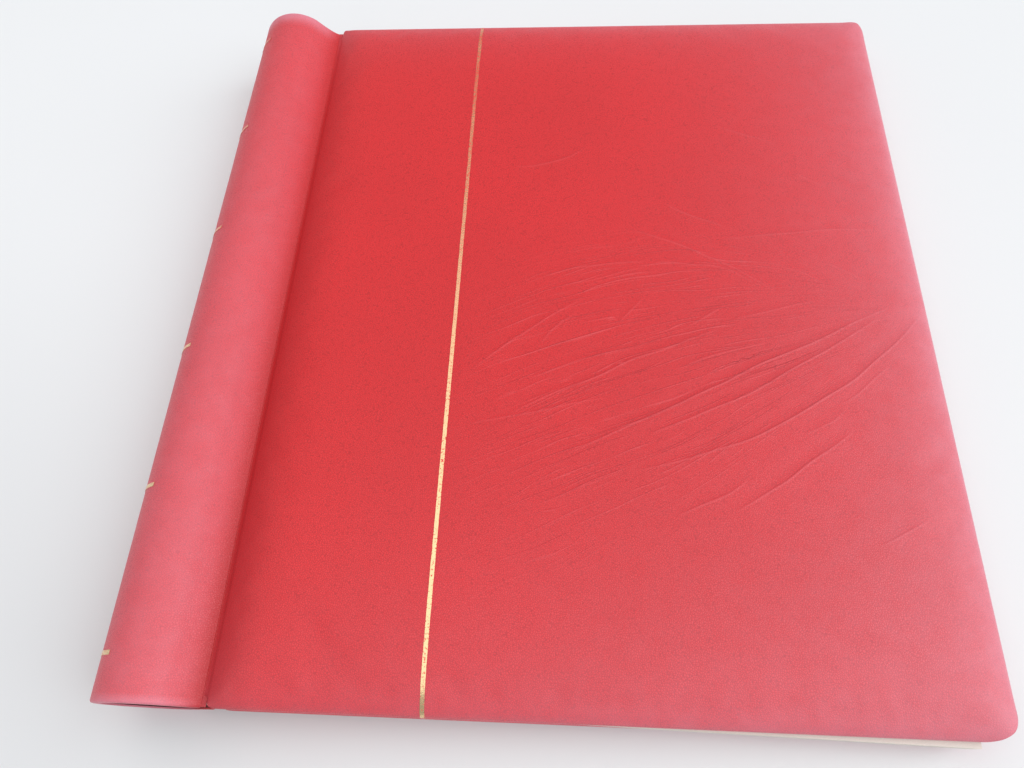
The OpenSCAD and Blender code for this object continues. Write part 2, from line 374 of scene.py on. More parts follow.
def billow(obj, size, cap):
    """Blows the leatherette up over its padding as cloth, with its rim held, and keeps each
    point within a cap of where it was."""
    rest = coordinates(obj)
    depth = np.array([eased_depth(min(x, size.width - x), size.height / 2 - abs(y))
                      for x, y, _ in rest])
    uneven = roughness_of(rest, 38, 2) + 0.6 * roughness_of(rest, 95, 5)
    start = rest.copy()
    start[:, 2] += 0.12 * MM * uneven * np.clip(depth / (6 * MM), 0, 1)
    set_coordinates(obj, start)
    rim = obj.vertex_groups.new(name="rim")
    for index, inset in enumerate(depth):
        rim.add([index], float(np.clip(1 - (inset - 1.2 * MM) / (7 * MM), 0.02, 1)), "REPLACE")
    work_on(obj)
    cloth = obj.modifiers.new("Leatherette", "CLOTH")
    for key, value in {"vertex_group_mass": "rim", "use_pressure": True, "quality": 5,
                       "uniform_pressure_force": 4, "mass": 0.4, "bending_stiffness": 0.8,
                       "shrink_min": -0.012}.items():
        setattr(cloth.settings, key, value)
    cloth.settings.effector_weights.gravity = 0
    cloth.point_cache.frame_start, cloth.point_cache.frame_end = 1, CLOTH_FRAMES
    for number in range(1, CLOTH_FRAMES + 1):
        bpy.context.scene.frame_set(number)
    bpy.ops.object.modifier_apply(modifier=cloth.name)
    bpy.context.scene.frame_set(1)
    obj.vertex_groups.clear()
    moved = coordinates(obj) - rest
    travel = np.linalg.norm(moved, axis=1, keepdims=True)
    eased = cap * np.tanh(travel / cap)
    moved *= np.where(travel > 1e-9, eased / np.maximum(travel, 1e-9), 0)
    moved[:, 2] = np.maximum(moved[:, 2], -0.2 * MM)
    held = np.clip((depth - 0.5 * MM) / (5 * MM), 0, 1)[:, None]
    set_coordinates(obj, rest + moved * held)


def outline_push(x, y, size):
    """Unit vector out of the cover's outline at a point of its rim."""
    radius = corner_radius(x, size)
    near = Vector((min(max(x, radius), size.width - radius),
                   min(max(y, radius - size.height / 2), size.height / 2 - radius)))
    return (Vector((x, y)) - near).normalized()


def wrap_edges(obj, size):
    """Takes the rim round the board's edge and in under it, and at the heel out to the hinge."""
    rest = coordinates(obj)
    push, heel = [], []
    for x, y, _ in rest:
        edge = min(x, size.width - x, size.height / 2 - abs(y)) < 3.1 * MM
        out = outline_push(x, y, size) if edge else Vector((0, 0))
        push.append((out.x, out.y, 0))
        share = min(max((size.height / 2 - abs(y) - size.heel) / (2 * MM), 0), 1)
        heel.append(share * share * (3 - 2 * share) if x < 0.2 * MM else 0)
    store(obj, "base", rest)
    store(obj, "push", push)
    store(obj, "heel", heel)

    def wrapped(vertex, at_open, at_heel):
        share = stored(obj, "heel", vertex)
        out, up = (MM * (a + (b - a) * share) for a, b in zip(at_open, at_heel))
        return pushed(obj, vertex, out, 2, up)

    work_on(obj)
    set_mode("EDIT")
    select_where(obj, "edges", lambda edge: edge.is_boundary)
    for at_open, at_heel in zip(OPEN_EDGE, HEEL_EDGE):
        bpy.ops.mesh.extrude_edges_indiv()
        move_selected(obj, lambda vertex: wrapped(vertex, at_open, at_heel))
    set_mode("OBJECT")
    forget(obj, "base", "push", "heel")


# A crease of the front cover: start x, y, end x, y and bow in the cover's frame, then its family
# and its strength. Neighbours in one family lie well apart, so that each point has one nearest.
CREASES = [
    (236, -7, 113, -71, 0, 0, 1.0), (231, -12, 144, -62, -3, 1, 0.9),
    (248, -9, 139, -76, -11, 2, 1.0), (214, -60, 172, -90, -1, 0, 0.9),
    (176, -79, 152, -92, -1, 1, 0.7), (171, -18, 93, -55, 1, 2, 0.8),
    (173, -8, 159, -17, 0, 1, 0.5), (187, -24, 156, -35, 1, 0, 0.55),
    (119, -5, 79, -36, 1, 0, 0.6), (116, -12, 104, -25, 1, 1, 0.5),
    (142, -26, 100, -40, 1, 0, 0.4), (143, -4, 133, -16, 0, 2, 0.4),
    (139, 29, 193, 0, 3, 0, 0.6), (153, 43, 176, 31, -1, 1, 0.6),
    (175, 24, 238, 30, 1, 1, 0.45), (90, 63, 121, 74, -3, 0, 0.55),
    (176, 86, 203, 74, 1, 0, 0.4), (207, 59, 219, 52, 0, 1, 0.4),
    (105, 6, 144, 13, 2, 2, 0.5), (112, 2, 145, 11, -1, 1, 0.35),
    (215, 13, 229, 4, 0, 0, 0.45), (197, 11, 213, 2, 1, 2, 0.45),
    (157, 11, 186, 3, 4, 2, 0.45), (235, -91, 217, -101, 0, 0, 0.5),
    (127, -48, 80, -59, 0, 1, 0.5), (208, -5, 176, -14, 0, 2, 0.4),
    (231, -33, 212, -49, -1, 0, 0.5), (132, -77, 105, -89, 0, 2, 0.35),
    (213, -51, 198, -61, -1, 1, 0.4),
]
CREASE_FAMILIES = 3
CREASE_REACH = 6 * MM
CREASE_POINTS = 97         # points that stand for one crease
# Across a crease, its ridge and the valley beside it: height, place and width in millimetres.
CREASE_PROFILE = [(0.26, -0.6, 1.9), (-0.20, 2.6, 2.0)]
FAN_FOCUS = (252, -8)      # where the fine lines draw together, in millimetres
FAN_START = (8, 70)        # how far from there they begin to show, and over how long they do
FAN_END = (184, 40)        # how far from there they end, and over how long they fade
FAN_RELIEF = 0.07          # height of the fine lines' swells in millimetres


def crease_line(x0, y0, x1, y1, bow, seed):
    """Points along a bowed and wandering crease, and the way that it faces at each."""
    start, end = np.array((x0, y0)) * MM, np.array((x1, y1)) * MM
    run = end - start
    side = np.array((-run[1], run[0])) / np.linalg.norm(run)
    if side[1] < 0:
        side = -side
    steps = np.linspace(0, 1, CREASE_POINTS)[:, None]
    line = start + run * steps + side * (4 * bow * MM) * steps * (1 - steps)
    wander = roughness_of([(x, y, seed) for x, y in line], 55, 9)[:, None]
    line = line + side * wander * 1.2 * MM * np.sin(math.pi * steps)
    facing = np.gradient(line, axis=0)[:, ::-1] * np.array((-1, 1))
    facing /= np.linalg.norm(facing, axis=1, keepdims=True)
    return line, facing * np.sign(facing @ side)[:, None]


def crease_fields(points):
    """For each family of creases, the signed distance to the nearest one, and its strength."""
    distances, strengths = np.zeros((2, len(points), CREASE_FAMILIES))
    nearest = np.full((len(points), CREASE_FAMILIES), 1.0)
    for *course, family, strength in CREASES:
        line, facing = crease_line(*course, family)
        offset = points[:, None, :2] - line[None]
        reach = np.linalg.norm(offset, axis=2)
        at = reach.argmin(1)
        each = np.arange(len(points))
        distance = reach[each, at]
        signed = (offset[each, at] * facing[at]).sum(1)
        taper = np.sin(math.pi * np.clip(at / (CREASE_POINTS - 1), 0, 1)) ** 0.5
        fade = np.clip((CREASE_REACH - distance) / (1.5 * MM), 0, 1)
        closer = distance < nearest[:, family]
        distances[closer, family] = signed[closer]
        strengths[closer, family] = (strength * taper * fade)[closer]
        nearest[closer, family] = distance[closer]
    return distances, strengths


def fan_field(points):
    """Coordinates along and across the fine lines that draw together at the fore-edge, and how
    plainly they show. The uppermost arch over towards the hinge, and the lower run straight."""
    away = np.maximum(FAN_FOCUS[0] - points[:, 0] / MM, 4)
    rise = points[:, 1] / MM - FAN_FOCUS[1]
    share = (0.52 - 0.003 * away - rise / away) / (0.98 - 0.003 * away)
    along = np.hypot(away, rise)
    inside = 1 / (1 + np.exp((share - 1.45) / 0.10)) / (1 + np.exp((-0.12 - share) / 0.07))
    reach = (np.clip((away - FAN_START[0]) / FAN_START[1], 0, 1)
             * np.clip((FAN_END[0] - away) / FAN_END[1], 0, 1))
    return np.stack([along * MM, share * 0.075, inside * reach], 1)


def crease_leather(obj):
    """Presses the long creases into the crown and stores what the material draws them from."""
    points = coordinates(obj)
    distances, strengths = crease_fields(points)
    lift = np.zeros(len(points))
    for distance, strength in zip(distances.T / MM, strengths.T):
        lift += strength * sum(height * np.exp(-((distance - at) / width) ** 2)
                               for height, at, width in CREASE_PROFILE)
    fan = fan_field(points)
    lift += FAN_RELIEF * fan[:, 2] * roughness_of(fan * np.array((0.12, 2.2, 0)), 60, 3)
    points[:, 2] += lift * MM
    set_coordinates(obj, points)
    store(obj, "crease_place", distances)
    store(obj, "crease_strength", strengths)
    store(obj, "fan", fan)


RUB_AND_SHEEN_FADES = [(0.45, 5), (0.55, 42)]    # shares of the paling, narrow rubbing at the edge and broad painted sheen, and the millimetres each fades in
HEAD_FADE = 13 * MM
JOINT_SHADE = 12 * MM                  # how far the painted shade of the joint reaches over a cover


def rub_and_painted_sheen(points, size):
    """How pale the leatherette is painted: rubbing by handling, and painted sheen that reaches far
    in, most on the fore-edge and its tail corner.
    """
    def near(distance, weight):
        inset = np.maximum(distance, 0) / MM
        return weight * sum(share * np.exp(-inset / fade) for share, fade in RUB_AND_SHEEN_FADES)

    x, y = points[:, 0], points[:, 1]
    towards_fore = np.clip(x / size.width, 0, 1)
    fore = near(size.width - x, 1.0)
    tail = near(size.height / 2 + y, 0.25 + 0.6 * towards_fore)
    head = (0.3 + 0.15 * towards_fore) * np.exp(-np.maximum(size.height / 2 - y, 0) / HEAD_FADE)
    return 1 - (1 - fore) * (1 - tail) * (1 - head)


def joint_shade_towards_tail(points, size):
    """How dark the painted shade in the joint is: more towards the tail."""
    return 0.75 - 0.25 * points[:, 1] / (size.height / 2)


def make_cover_leather(name, size, rise, run, matrix, body, node, creased):
    obj = crowned_sheet(size, rise, run, size.step)
    billow(obj, size, size.slack if creased else size.slack * 0.5)
    apply_modifier(obj, "SUBSURF", "Refine", levels=1, render_levels=1)
    points = coordinates(obj)
    if creased:
        crease_leather(obj)
    # Paler from rubbing by handling, and painted sheen near the open edges
    store(obj, "rub", rub_and_painted_sheen(points, size))
    # Painted shade in the joint, fading over JOINT_SHADE from the hinged edge
    from_joint = np.maximum(points[:, 0], 0) / JOINT_SHADE
    store(obj, "joint", np.exp(-from_joint ** 1.6) * joint_shade_towards_tail(points, size))
    wrap_edges(obj, size)
    thicken(obj, matrix, size.skin, -1, 60)
    finish_piece(obj, name, body, leather_material(creased))
    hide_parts(node)


def make_padding(name, size, rise, run, matrix, body, node):
    """Foam under the leatherette: a closed crowned pad that sits on the board."""
    inset = SKIN_T + 0.1 * MM
    obj = crowned_sheet(size, rise, run, 2 * size.step)
    points = coordinates(obj)
    points[:, 0] = inset + points[:, 0] * (1 - 2 * inset / size.width)
    points[:, 1] *= 1 - 2 * inset / size.height
    points[:, 2] -= inset
    set_coordinates(obj, points)
    work_on(obj)
    set_mode("EDIT")
    select_where(obj, "edges", lambda edge: edge.is_boundary)
    bpy.ops.mesh.extrude_edges_indiv()
    bottom = size.shoulder + 0.02 * MM
    set_mode("OBJECT")
    for vertex in obj.data.vertices:
        vertex.co.z = bottom if vertex.select else max(vertex.co.z, bottom + 0.02 * MM)
    set_mode("EDIT")
    bpy.ops.mesh.edge_face_add()
    set_mode("OBJECT")
    place(obj, matrix)
    smooth(obj, 40)
    finish_piece(obj, name, body, foam_material())
    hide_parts(node)


# ---- Spine, joints, gold line and leaf hinges ----

SPINE_SIDES = 120          # sides of the full circle that the spine is cut from
DRAPE_STEPS = 10
# The leatherette round an end of the spring: how far in and how far along, in millimetres.
END_TURN = [(0.07, 0.42), (0.27, 0.78), (0.6, 1.0), (1.0, 1.1), (2.2, 1.1)]


def spine_sheet(spine, half):
    """The leatherette between both ends: round the spring, off it at a tangent and in a drape
    down to each joint. The second value is the angle at which it leaves the spring."""
    tip = Vector((spine.tip_u, spine.tip_v))
    foot = Vector((spine.tip_u - 2.8 * MM, spine.tip_v + 0.8 * MM))
    leave = math.atan2(tip.y, tip.x) + math.acos(SPINE_R / tip.length)
    lift_off = Vector((math.cos(leave), math.sin(leave))) * SPINE_R
    start_clean()
    bpy.ops.mesh.primitive_circle_add(
        vertices=SPINE_SIDES, radius=SPINE_R, location=(0, -half, 0), rotation=(math.pi / 2, 0, 0))
    obj = bpy.context.object
    bpy.ops.object.transform_apply(location=True, rotation=True, scale=False)
    set_mode("EDIT")
    select_where(obj, "verts", lambda v: abs(math.atan2(v.co.z, v.co.x)) < leave - 0.02)
    bpy.ops.mesh.delete(type="VERT")
    select_where(obj, "verts", lambda v: len(v.link_edges) == 1)
    for step in range(DRAPE_STEPS + 1):
        if step:
            bpy.ops.mesh.extrude_verts_indiv()
        share = step / DRAPE_STEPS
        spot = lift_off.lerp(foot, share).lerp(foot.lerp(tip, share), share)
        move_selected(obj, lambda v: (spot.x, v.co.y, math.copysign(spot.y, v.co.z)))
    bpy.ops.mesh.select_all(action="SELECT")
    rows = round(2 * half / spine.step)
    bpy.ops.mesh.extrude_repeat(steps=rows, offset=(0, 2 * half / rows, 0))
    set_mode("OBJECT")
    return obj, leave


def turn_in_ends(obj, spine, half, leave):
    """Turns the leatherette in over both ends of the spring."""
    points = coordinates(obj)
    angle = np.arctan2(points[:, 2], points[:, 0])
    facing = np.sign(angle) * np.maximum(np.abs(angle), leave)
    store(obj, "base", points)
    store(obj, "push", np.stack([np.cos(facing), 0 * facing, np.sin(facing)], 1))
    turned = [(-a * MM, b * MM) for a, b in END_TURN] + [(-spine.rim, spine.edge)]
    set_mode("EDIT")
    for end in (-1, 1):
        select_where(obj, "edges", lambda edge: edge.is_boundary and all(
            v.co.y * end > half - 0.01 * MM for v in edge.verts))
        for out, along in turned:
            bpy.ops.mesh.extrude_edges_indiv()
            move_selected(obj, lambda v: pushed(obj, v, out, 1, end * (half + along)))
    set_mode("OBJECT")
    forget(obj, "base", "push")


def paint_spine_wear_sheen_and_shade(obj, points, cover, spine, half):
    """Stores where the spine is painted paler, more towards the tail, partly from rubbing by hands
    and partly as painted sheen, and where painted shade darkens it beside the joints."""
    end_reach = cover.height / 2 - np.abs(points[:, 1])
    above_tip = np.maximum(np.abs(points[:, 2]) - spine.tip_v, 0)
    into_joint = np.where(points[:, 0] > 0, np.exp(-(above_tip / (3.4 * MM)) ** 1.5), 0)
    # Painted sheen over the whole spine, more towards the tail, with rubbing by hands
    held = 0.36 - 0.12 * points[:, 1] / half
    end_wear = np.where(points[:, 1] > 0, 7, 2.5) * MM
    wear_and_sheen = np.maximum(held, np.exp(-(end_reach / end_wear) ** 2)) * (1 - 0.9 * into_joint)
    store(obj, "rub", wear_and_sheen)
    # Painted shade beside the joints, more towards the tail
    store(obj, "joint", into_joint * joint_shade_towards_tail(points, cover))


def make_spine_leather(name, cover, spine):
    """Leatherette round the spine, dented a little here and there."""
    half = cover.height / 2 - spine.edge
    obj, leave = spine_sheet(spine, half)
    turn_in_ends(obj, spine, half, leave)
    points = coordinates(obj)
    radial = points * np.array((1, 0, 1))
    radial /= np.linalg.norm(radial, axis=1, keepdims=True)
    on_back = np.abs(points[:, 1]) < half
    if (vertex_normals(obj)[on_back] * radial[on_back]).sum() < 0:
        obj.data.flip_normals()
    uneven = roughness_of(points, 70, 4) + 0.5 * roughness_of(points, 210, 6)
    dip = 0.05 * MM * (np.abs(uneven) + 0.3) * on_back
    set_coordinates(obj, points - radial * dip[:, None])
    paint_spine_wear_sheen_and_shade(obj, points, cover, spine, half)
    thicken(obj, ALBUM, spine.skin, -1, 60)
    finish_piece(obj, name, "spine", leather_material(False))
    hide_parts("spine_skin")


def make_strip(across, length, rows):
    """Flat strip along Y, whose lines lie at the given places across it."""
    start_clean()
    bpy.ops.mesh.primitive_grid_add(x_subdivisions=len(across) - 1, y_subdivisions=rows, size=1)
    obj = bpy.context.object
    for vertex in obj.data.vertices:
        column = round((vertex.co.x + 0.5) * (len(across) - 1))
        vertex.co = (across[column], vertex.co.y * length, 0)
    return obj


def make_joint_leather(name, cover, mirror):
    """Leatherette that lies glued on a lever and reaches flat over the hinge line into the cover's
    heel, with close mesh lines at the hinge line.
    """
    side = ALBUM @ mirror
    glued, into_heel = (13.4 * MM, 17 * MM), 22.0 * MM
    bend = [HINGE_U + share * MM for share in (-1, -0.6, -0.4, -0.2, 0, 0.2, 0.4, 0.6, 0.9)]
    obj = make_strip([*glued, *bend, into_heel], cover.height - 0.6 * MM, 60)
    obj.data.transform(Matrix.Translation((0, 0, INNER_V + LEVER_T + 0.3 * MM)))
    points = coordinates(obj)
    end_reach = cover.height / 2 - np.abs(points[:, 1])
    store(obj, "rub", 0.15 * np.exp(-(end_reach / (6 * MM)) ** 2))
    # Painted shade over the whole joint strip, more towards the tail
    store(obj, "joint", joint_shade_towards_tail(points, cover))
    thicken(obj, side, 0.34 * MM, 0, 40)
    finish_piece(obj, name, None, leather_material(False))
    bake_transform(obj)


def make_gold_line(name, leather, gold):
    """Foil cut from a copy of the leatherette's own surface, so that it lies in its grain."""
    start_clean()
    mesh = leather.data.copy()
    mesh.transform(COVER.inverted())
    obj = bpy.data.objects.new(name, mesh)
    bpy.context.scene.collection.objects.link(obj)
    work_on(obj)
    set_mode("EDIT")
    for side in (-1, 1):
        bpy.ops.mesh.select_all(action="SELECT")
        bpy.ops.mesh.bisect(
            plane_co=(gold.line_in + side * gold.line_width / 2, 0, 0),
            plane_no=(side, 0, 0), clear_outer=True)
    lowest = 1.15 * MM

    def hidden(face):
        middle, normal = face.calc_center_median(), face.normal
        outer = normal.z > 0.2 or (abs(normal.y) > 0.5 and normal.y * middle.y > 0)
        return middle.z < lowest or not outer

    select_where(obj, "faces", hidden)
    bpy.ops.mesh.delete(type="FACE")
    bpy.ops.mesh.select_all(action="SELECT")
    bpy.ops.mesh.remove_doubles(threshold=0.01 * MM)
    set_mode("OBJECT")
    points, normals = coordinates(obj), vertex_normals(obj)
    ragged = 0.09 * MM * roughness_of(points * np.array((40, 1, 1)), 420, 8)
    points += normals * gold.lift
    points[:, 0] += ragged
    set_coordinates(obj, points)
    forget(obj, "crease_place", "crease_strength", "fan", "rub", "joint")
    thicken(obj, COVER, 0.03 * MM, 1, 50)
    finish_piece(obj, name, "front_cover", gold_material())
    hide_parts("front_gold_line")


def make_leaf_hinge(leaf):
    """Linen that joins a leaf to its binding guard on both faces, with close mesh lines at the
    fold.
    """
    joint = JOINTS[leaf + "_fold"]
    fold = Vector(joint["pos_m"])
    along = Vector(joint["axis"]).normalized()
    if along.y < 0:
        along = -along
    up = (ALBUM.to_3x3() @ Vector((0, 0, 1))).normalized()
    over = along.cross(up).normalized()
    low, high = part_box(leaf)
    across = [spot * MM for spot in (-4, -0.35, -0.25, -0.12, 0, 0.12, 0.25, 0.35, 4)]
    made = []
    for side in (-1, 1):
        strip = make_strip(across, (high.y - low.y) * 0.994, 8)
        strip.data.transform(Matrix.Translation((0, 0, side * 0.235 * MM)))
        if side < 0:
            strip.data.flip_normals()
        made.append(strip)
    obj = made[0]
    work_on(obj)
    made[1].select_set(True)
    bpy.ops.object.join()
    axes = Matrix((over, along, up)).transposed().to_4x4()
    place(obj, Matrix.Translation(fold) @ axes)
    apply_modifier(obj, "SOLIDIFY", "Thickness", thickness=0.03 * MM, offset=0)
    linen = cloth_material("Hinge linen", bpy.context.scene.album_colours.card, 12000.0)
    finish_piece(obj, leaf + "_hinge_linen", None, linen)
    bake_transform(obj)


# ---- Materials ----

class Nodes:
    """Adds and links shader nodes in a tree."""

    def __init__(self, tree):
        self.tree = tree

    def feed(self, node, inputs):
        """Links or sets sockets of a node."""
        for key, value in inputs.items():
            if isinstance(value, bpy.types.NodeSocket):
                self.tree.links.new(value, node.inputs[key])
            else:
                node.inputs[key].default_value = value

    def add(self, kind, inputs=None, **settings):
        node = self.tree.nodes.new("ShaderNode" + kind)
        for key, value in settings.items():
            setattr(node, key, value)
        self.feed(node, inputs or {})
        return node

    def use(self, node_group, **inputs):
        return self.add("Group", inputs, node_tree=node_group).outputs

    def math(self, operation, *values, clamp=False):
        return self.add("Math", dict(enumerate(values)), operation=operation,
                        use_clamp=clamp).outputs[0]

    def total(self, first, *others):
        for other in others:
            first = self.math("ADD", first, other)
        return first

    def product(self, first, *others):
        for other in others:
            first = self.math("MULTIPLY", first, other)
        return first

    def rest(self, share):
        return self.math("SUBTRACT", 1.0, share)

    def vector(self, operation, first, second):
        return self.add("VectorMath", {0: first, 1: second}, operation=operation).outputs[0]

    def parts(self, vector):
        return self.add("SeparateXYZ", {0: vector}).outputs

    def noise(self, vector, scale, detail=2.0, roughness=0.5, output="Fac"):
        return self.add("TexNoise", {"Vector": vector, "Scale": scale, "Detail": detail,
                                     "Roughness": roughness}).outputs[output]

    def cells(self, vector, scale, feature="DISTANCE_TO_EDGE"):
        return self.add("TexVoronoi", {"Vector": vector, "Scale": scale},
                        feature=feature).outputs["Distance"]

    def between(self, value, low, high, to_low=0.0, to_high=1.0):
        return self.add("MapRange", {"Value": value, "From Min": low, "From Max": high,
                                     "To Min": to_low, "To Max": to_high},
                        interpolation_type="SMOOTHSTEP").outputs[0]

    def blend(self, share, first, second):
        """Mixes two colours, each a socket or red, green and blue."""
        first, second = (one if isinstance(one, bpy.types.NodeSocket) else (*one, 1.0)
                         for one in (first, second))
        return self.add("Mix", {0: share, 6: first, 7: second}, data_type="RGBA").outputs[2]

    def attribute(self, name, output="Fac"):
        return self.add("Attribute", attribute_name=name).outputs[output]

    def bump(self, height, *factors):
        """A normal bumped by a height in millimetres, times any factors."""
        return self.add("Bump", {"Height": self.product(height, *factors), "Strength": 1.0,
                                 "Distance": MM}).outputs[0]


def group(name, inputs, outputs, build):
    """Builds a shader node group once. inputs gives each number's default, and None for a
    vector. outputs names the numbers that it puts out."""
    made = bpy.data.node_groups.get(name)
    if made is None:
        made = bpy.data.node_groups.new(name, "ShaderNodeTree")
        for label, value in inputs.items():
            kind = "NodeSocketVector" if value is None else "NodeSocketFloat"
            socket = made.interface.new_socket(label, in_out="INPUT", socket_type=kind)
            if value is not None:
                socket.default_value = value
        for label in outputs:
            made.interface.new_socket(label, in_out="OUTPUT", socket_type="NodeSocketFloat")
        entry = made.nodes.new("NodeGroupInput")
        leave = made.nodes.new("NodeGroupOutput")
        for label, socket in build(Nodes(made), entry.outputs).items():
            made.links.new(socket, leave.inputs[label])
    return made


def pebble_group():
    """Pebbled grain: rounded cells parted by fine creases, with finer pores in them."""
    def build(nodes, given):
        warp = nodes.noise(given["Vector"], 260.0, 1.0, output="Color")
        bent = nodes.vector("MULTIPLY", warp, (0.0009,) * 3)
        here = nodes.vector("ADD", given["Vector"], bent)
        cell = nodes.cells(here, given["Cells"])
        pores = nodes.noise(here, nodes.product(given["Cells"], 3.1), 2.0)
        return {"Height": nodes.total(nodes.between(cell, 0.0, 0.34), nodes.product(pores, 0.45)),
                "Pits": nodes.between(cell, 0.16, 0.0)}

    return group("Pebbled grain", {"Vector": None, "Cells": 900.0}, ("Height", "Pits"), build)


def stretch_lines_group():
    """Fine long lines that run along the first coordinate, wander and break up here and there."""
    def build(nodes, given):
        place = given["Vector"]
        wander = nodes.noise(nodes.vector("MULTIPLY", place, (14.0, 70.0, 14.0)), 1.0, 2.0)
        across = nodes.parts(place)["Y"]

        def hatch(spacing, seed, along, width):
            phase = nodes.total(nodes.math("DIVIDE", across, spacing), nodes.product(wander, 6.0))
            wave = nodes.math("ABSOLUTE", nodes.math("SINE", nodes.product(phase, math.pi)))
            shifted = nodes.vector("ADD", place, (seed, seed, 0.0))
            whole = nodes.noise(nodes.vector("MULTIPLY", shifted, (along, 300.0, 0.0)), 1.0, 1.0)
            return nodes.product(nodes.between(wave, width, 0.0), nodes.between(whole, 0.47, 0.62))

        return {"Height": nodes.total(hatch(0.0021, 0.3, 26.0, 0.5), hatch(0.0037, 1.7, 17.0, 0.3))}

    return group("Growth lines", {"Vector": None}, ("Height",), build)


def fibre_group():
    """Fibres and faint clouding of paper and board."""
    def build(nodes, given):
        stretched = nodes.vector("MULTIPLY", given["Vector"], (1.0, 3.0, 1.0))
        fibres = nodes.noise(stretched, given["Scale"], 4.0, 0.65)
        cloud = nodes.noise(given["Vector"], 45.0, 2.0)
        tone = nodes.total(nodes.product(fibres, 0.6), nodes.product(cloud, 0.4))
        return {"Tone": nodes.between(tone, 0.32, 0.68), "Height": fibres}

    return group("Paper fibres", {"Vector": None, "Scale": 1400.0}, ("Tone", "Height"), build)


def weave_group():
    """Plain weave of warp and weft threads."""
    def build(nodes, given):
        place = nodes.parts(given["Vector"])
        warp, weft = (nodes.math("SINE", nodes.product(place[axis], given["Threads"]))
                      for axis in "XY")
        stretched = nodes.vector("MULTIPLY", given["Vector"], (1.0, 12.0, 1.0))
        uneven = nodes.noise(stretched, 400.0, 2.0)
        height = nodes.total(nodes.between(nodes.product(warp, weft), -1.0, 1.0),
                             nodes.product(uneven, 0.5))
        return {"Height": height, "Tone": nodes.between(height, 0.1, 1.3)}

    return group("Plain weave", {"Vector": None, "Threads": 9000.0}, ("Height", "Tone"), build)


def material_once(name, build):
    """The material of a name. The first time it is made, and build(nodes, colours) gives its
    shader's inputs."""
    made = bpy.data.materials.get(name)
    if made is None:
        made = bpy.data.materials.new(name)
        made.use_nodes = True
        made.node_tree.nodes.clear()
        nodes = Nodes(made.node_tree)
        shader = nodes.add("BsdfPrincipled")
        nodes.add("OutputMaterial", {"Surface": shader.outputs[0]})
        nodes.feed(shader, build(nodes, bpy.context.scene.album_colours))
    return made


def darker(rgb, share):
    return tuple(part * share for part in rgb)


def object_place(nodes):
    return nodes.add("TexCoord").outputs["Object"]


def in_album(nodes, skew=0.0):
    """Object coordinates turned into the album's own frame."""
    turned = ALBUM @ Matrix.Rotation(-skew, 4, "Z")
    return nodes.add("Mapping", {"Vector": object_place(nodes), "Location": ALBUM.translation,
                                 "Rotation": turned.to_euler()}, vector_type="TEXTURE").outputs[0]


GRAIN_CELLS = 1500.0       # pebbles of the leatherette's grain in a metre
GRAIN_DEPTH = 0.045        # depths are in millimetres
LINE_DEPTH = 0.14
CREASE_DEPTH = 0.26
CREASE_WIDTH = 0.45 * MM
CREASE_PALE = 1.3          # how much paler than a fine line a long crease is
LINES_ELSEWHERE = 0.22     # how plainly fine lines show away from the front cover


def leather_material(creased):
    """Grained leatherette. The creased one also draws the creases that its mesh has stored."""
    def build(nodes, colours):
        here = in_album(nodes)
        grain = nodes.use(pebble_group(), Vector=here, Cells=GRAIN_CELLS)
        if creased:
            fan = nodes.attribute("fan", "Vector")
            drawn = nodes.parts(fan)["Z"]
            flow = nodes.vector("MULTIPLY", fan, (1.0, 1.0, 0.0))
        else:
            drawn = LINES_ELSEWHERE
            flow = nodes.add("Mapping", {"Vector": here, "Rotation": (0, 0, -0.5)}).outputs[0]
        pale = nodes.product(nodes.use(stretch_lines_group(), Vector=flow)["Height"], drawn)
        height = nodes.total(nodes.product(grain["Height"], GRAIN_DEPTH),
                             nodes.product(pale, LINE_DEPTH))
        if creased:
            places = nodes.parts(nodes.attribute("crease_place", "Vector"))
            strengths = nodes.parts(nodes.attribute("crease_strength", "Vector"))
            for place, strength in zip(places, strengths):
                off = nodes.math("DIVIDE", place, CREASE_WIDTH)
                ridge = nodes.math("POWER", 2.718, nodes.product(off, off, -1.0))
                marked = nodes.product(ridge, strength)
                height = nodes.total(height, nodes.product(marked, CREASE_DEPTH))
                pale = nodes.total(pale, nodes.product(marked, CREASE_PALE))
        patches = nodes.between(nodes.noise(here, 16.0, 3.0), 0.3, 0.7)
        # Random dark patches of dirt, and painted shade in the joints
        dirt_and_painted_shade = nodes.math("MAXIMUM", nodes.product(patches, 0.14),
                            nodes.product(nodes.attribute("joint"), 0.72))
        # Paler from rubbing by handling, and painted sheen on the fore-edge, the tail, the head and
        # the spine
        wear_and_sheen = nodes.product(nodes.attribute("rub"),
                             nodes.between(nodes.noise(here, 140.0, 3.0), 0.2, 0.8, 0.56, 0.7))
        shade = nodes.blend(nodes.product(grain["Pits"], 0.7), colours.leather,
                            colours.leather_deep)
        shade = nodes.blend(dirt_and_painted_shade, shade, colours.leather_deep)
        # Paler ridges of the fine lines and creases: stretch paling, and painted highlight
        shade = nodes.blend(nodes.math("MULTIPLY", pale, 0.16, clamp=True), shade,
                            colours.leather_stretched_and_highlight)
        return {"Base Color": nodes.blend(wear_and_sheen, shade, colours.leather_rubbed_and_sheen),
                "Roughness": nodes.total(0.44, nodes.product(grain["Pits"], 0.2)),
                "Normal": nodes.bump(height), "Specular IOR Level": 0.6, "Sheen Weight": 0.06,
                "Sheen Roughness": 0.4, "Sheen Tint": (0.85, 0.68, 0.76, 1)}

    return material_once("Red leatherette, creased" if creased else "Red leatherette", build)


